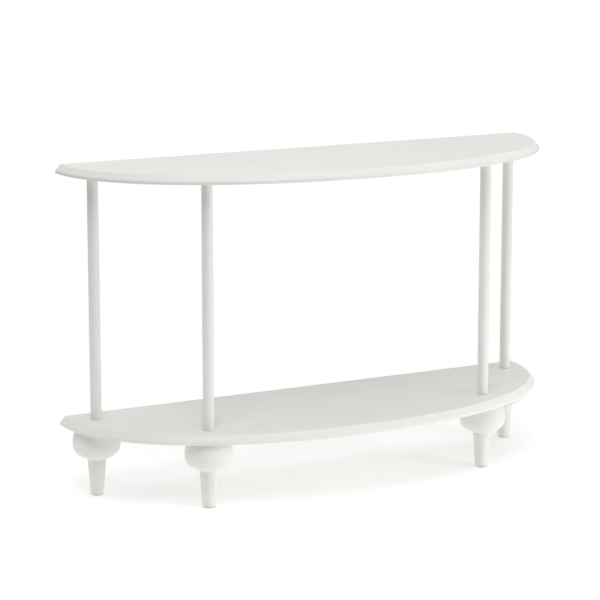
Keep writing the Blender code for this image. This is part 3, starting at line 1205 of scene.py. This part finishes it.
@dataclass
class Hardware:
    """The steel inside the table: bolts, inserts and nails, which keep their CAD shapes."""

    steel: PlatedSteel = PlatedSteel("clear_zinc_steel", Plating.CLEAR)
    insert: PlatedSteel = PlatedSteel("yellow_zinc_steel", Plating.YELLOW, 0.38)

    def dress(self) -> None:
        """Gives every fastener its plating, centred on its own middle."""
        for name, node in sorted(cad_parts.items()):
            if not name.endswith(("_bolt", "_insert", "_nail")):
                continue
            low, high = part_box(name)
            finish = self.insert if name.endswith("_insert") else self.steel
            material = finish.material((low + high) / 2)
            if not node.data.materials:
                node.data.materials.append(material)
            for slot in node.material_slots:
                slot.material = material
            LOG.info("%s: %s", name, finish.name)


@dataclass
class Corner:
    """One corner's stack, named by where it stands."""

    name: str

    def axis(self) -> tuple[float, float]:
        """Where the corner's axis is, from its foot bolt."""
        low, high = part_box(self.name + "_foot_bolt")
        return (low.x + high.x) / 2, (low.y + high.y) / 2

    def build(
        self, lathe: GeometryTree, post: SatinLacquer, foot: SatinLacquer, glide: MouldedNylon
    ) -> None:
        """Turns the corner's post, foot and glide.

        Args:
            lathe: the lathe tree.
            post: the post's lacquer.
            foot: the foot's lacquer.
            glide: the glide's nylon.
        """
        Post(self.name + "_post").build(lathe, post)
        Foot(self.name + "_foot").build(lathe, foot)
        Glide(self.name + "_glide").build(lathe, glide)


@dataclass(frozen=True)
class Softbox:
    """A soft rectangular light that faces the table."""

    name: str
    place: Triple
    size: tuple[float, float]
    watts: float
    aim: Triple = (0.0, 0.0, 0.4)

    def hang(self) -> None:
        """Hangs the light in its place."""
        light = bpy.data.lights.new(self.name, "AREA")
        light.shape = "RECTANGLE"
        light.size, light.size_y = self.size
        light.energy = self.watts
        lamp = bpy.data.objects.new(self.name, light)
        lamp.location = self.place
        ahead = Vector(self.aim) - Vector(self.place)
        lamp.rotation_euler = ahead.to_track_quat("-Z", "Y").to_euler()
        bpy.context.scene.collection.objects.link(lamp)
        LOG.info("%s: %.0f W", self.name, self.watts)


@dataclass
class Studio:
    """A plain pale floor, soft light, and the camera."""

    camera_place: Triple = (-2.28213, -4.31019, 1.44586)
    camera_yaw: float = 0.46972
    camera_pitch: float = 0.17123
    camera_lens: float = 130.884
    camera_rise: float = -0.13
    sensor_width: float = 36.0
    sight_range: float = 200.0
    backdrop: float = 1.02
    room_above: float = 0.68
    room_left: float = 0.04
    room_back_left: float = 0.40
    room_behind: float = 0.55
    room_ahead: float = 0.06
    floor_reach: float = 60.0
    floor_segments: int = 96
    floor_fade: tuple[float, float] = (0.9, 2.6)
    floor_matt: float = 0.90
    floor_glow: float = 0.28
    floor_gloss: float = 0.04
    floor_roughness: float = 0.08
    softboxes: tuple[Softbox, ...] = (
        Softbox("overhead", (0.2, 0.1, 3.6), (4.4, 4.4), 40.0),
        Softbox("high_left_box", (-1.5, -1.8, 3.6), (1.6, 1.6), 32.0),
        Softbox("front_box", (-1.0, -3.6, 3.4), (1.6, 1.6), 13.0),
        Softbox("low_right_box", (2.6, -3.0, 0.9), (1.2, 1.2), 42.0),
        Softbox("right_strip", (3.4, -1.4, 0.35), (1.6, 0.5), 16.0),
    )

    def build(self) -> None:
        """Builds the whole studio."""
        scene = bpy.context.scene
        scene.view_settings.view_transform = "Standard"
        scene.view_settings.look = "None"
        self.floor()
        self.world()
        for softbox in self.softboxes:
            softbox.hang()
        self.camera()

    def floor(self) -> None:
        """A large round sheet of matt white that glows a little."""
        mesh = bpy.data.meshes.new("studio_floor")
        sheet = bmesh.new()
        bmesh.ops.create_circle(
            sheet, cap_ends=True, segments=self.floor_segments, radius=self.floor_reach
        )
        sheet.to_mesh(mesh)
        sheet.free()
        floor = bpy.data.objects.new("studio_floor", mesh)
        bpy.context.scene.collection.objects.link(floor)
        mesh.materials.append(self.floor_finish())

    def floor_finish(self) -> Material:
        """White that takes soft shadows near the table and fades to plain white far off.

        Returns:
            The floor's material.
        """
        material = bpy.data.materials.new("studio_white")
        material.use_nodes = True
        graph = Graph(material.node_tree)
        graph.tree.nodes.clear()
        where = graph.add("ShaderNodeTexCoord").outputs["Object"]
        far = graph.add("ShaderNodeVectorMath", {"operation": "LENGTH"}, {0: where})
        share = graph.value(far.outputs["Value"]).between(*self.floor_fade)
        pale = (self.floor_matt, self.floor_matt, self.floor_matt, 1.0)
        matt = graph.out("ShaderNodeBsdfDiffuse", None, {"Color": pale})
        glow = self.shine(graph, "ShaderNodeEmission", self.floor_glow)
        near = graph.out("ShaderNodeAddShader", None, {0: matt, 1: glow})
        polish = {"Color": PURE_WHITE, "Roughness": self.floor_roughness}
        gloss = graph.out("ShaderNodeBsdfGlossy", None, polish)
        sheen = graph.out("ShaderNodeMixShader", None, {0: self.floor_gloss, 1: near, 2: gloss})
        seen = graph.value(graph.add("ShaderNodeLightPath").outputs["Is Camera Ray"])
        strength = self.floor_glow + (self.backdrop - self.floor_glow) * seen
        white = self.shine(graph, "ShaderNodeEmission", strength)
        mixed = graph.out("ShaderNodeMixShader", None, {0: share, 1: sheen, 2: white})
        graph.add("ShaderNodeOutputMaterial", None, {"Surface": mixed})
        return material

    def world(self) -> None:
        """A room, brightest above and behind the table, that the camera sees as plain white."""
        world = bpy.data.worlds.new("studio_room")
        world.use_nodes = True
        bpy.context.scene.world = world
        graph = Graph(world.node_tree)
        graph.tree.nodes.clear()
        aside, back, up = graph.split(graph.add("ShaderNodeTexCoord").outputs["Generated"])
        sweep, left = back.between(-0.15, 0.35), aside.between(-0.1, -0.9)
        ceiling, horizon = up.between(0.3, 0.9), up.between(0.52, 0.38)
        side = self.room_left + (self.room_back_left - self.room_left) * sweep
        walls = side * left * (1.0 - ceiling)
        band = (self.room_ahead + (self.room_behind - self.room_ahead) * sweep) * horizon
        bright = self.room_above * ceiling + walls + band
        seen = graph.add("ShaderNodeLightPath").outputs["Is Camera Ray"]
        room = self.shine(graph, "ShaderNodeBackground", bright)
        plain = self.shine(graph, "ShaderNodeBackground", self.backdrop)
        mixed = graph.out("ShaderNodeMixShader", None, {0: seen, 1: room, 2: plain})
        graph.add("ShaderNodeOutputWorld", None, {"Surface": mixed})

    def shine(self, graph: Graph, kind: str, strength: Value | float) -> Socket:
        """White light of a strength, from an emission or a background node."""
        return graph.out(kind, None, {"Color": PURE_WHITE, "Strength": strength})

    def camera(self) -> None:
        """Sets up the camera in front of the table and to its left, a little above the top."""
        data = bpy.data.cameras.new("studio_camera")
        data.lens = self.camera_lens
        data.sensor_width = self.sensor_width
        data.shift_y = self.camera_rise
        data.clip_end = self.sight_range
        camera = bpy.data.objects.new("studio_camera", data)
        camera.location = self.camera_place
        yaw, pitch = self.camera_yaw, self.camera_pitch
        ahead = Vector(
            (math.sin(yaw) * math.cos(pitch), math.cos(yaw) * math.cos(pitch), -math.sin(pitch))
        )
        camera.rotation_euler = ahead.to_track_quat("-Z", "Y").to_euler()
        bpy.context.scene.collection.objects.link(camera)
        bpy.context.scene.camera = camera


def build_boards(axes: list[tuple[float, float]], lacquer: SatinLacquer) -> None:
    """Shapes the top, bored from below for its inserts, and the shelf, bored right through.

    Args:
        axes: the corners' axes, where the bores are.
        lacquer: the boards' lacquer.
    """
    maker = BoardMaker().tree()
    low, high = (corner.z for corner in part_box("back_left_top_insert"))
    bore = (low - DRILL_OVERRUN, high + INSERT_CLEARANCE, INSERT_BORE_RADIUS)
    HalfMoonBoard("top_board", *bore, axes).build(maker, lacquer)
    low, high = (corner.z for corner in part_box("shelf_board"))
    bore = (low - DRILL_OVERRUN, high + DRILL_OVERRUN, BOLT_BORE_RADIUS)
    HalfMoonBoard("shelf_board", *bore, axes).build(maker, lacquer)


def main() -> None:
    """Builds the table's pieces in order, dresses them, and sets up the studio."""
    logging.basicConfig(level=logging.INFO, format="%(name)s %(message)s")
    board_lacquer = SatinLacquer("board_satin_lacquer", GrainAxis.ALONG_BOARD)
    post_lacquer = SatinLacquer("post_satin_lacquer", GrainAxis.ALONG_POST, streak_share=0.4)
    foot_lacquer = SatinLacquer(
        "foot_satin_lacquer", GrainAxis.ALONG_POST, streak_share=0.3, rings_per_metre=700.0
    )
    corners = [Corner(side) for side in ("back_left", "back_right", "front_left", "front_right")]
    build_boards([corner.axis() for corner in corners], board_lacquer)
    lathe = lathe_tree()
    for corner in corners:
        corner.build(lathe, post_lacquer, foot_lacquer, MouldedNylon())
    Hardware().dress()
    Studio().build()


if __name__ == "__main__":
    main()
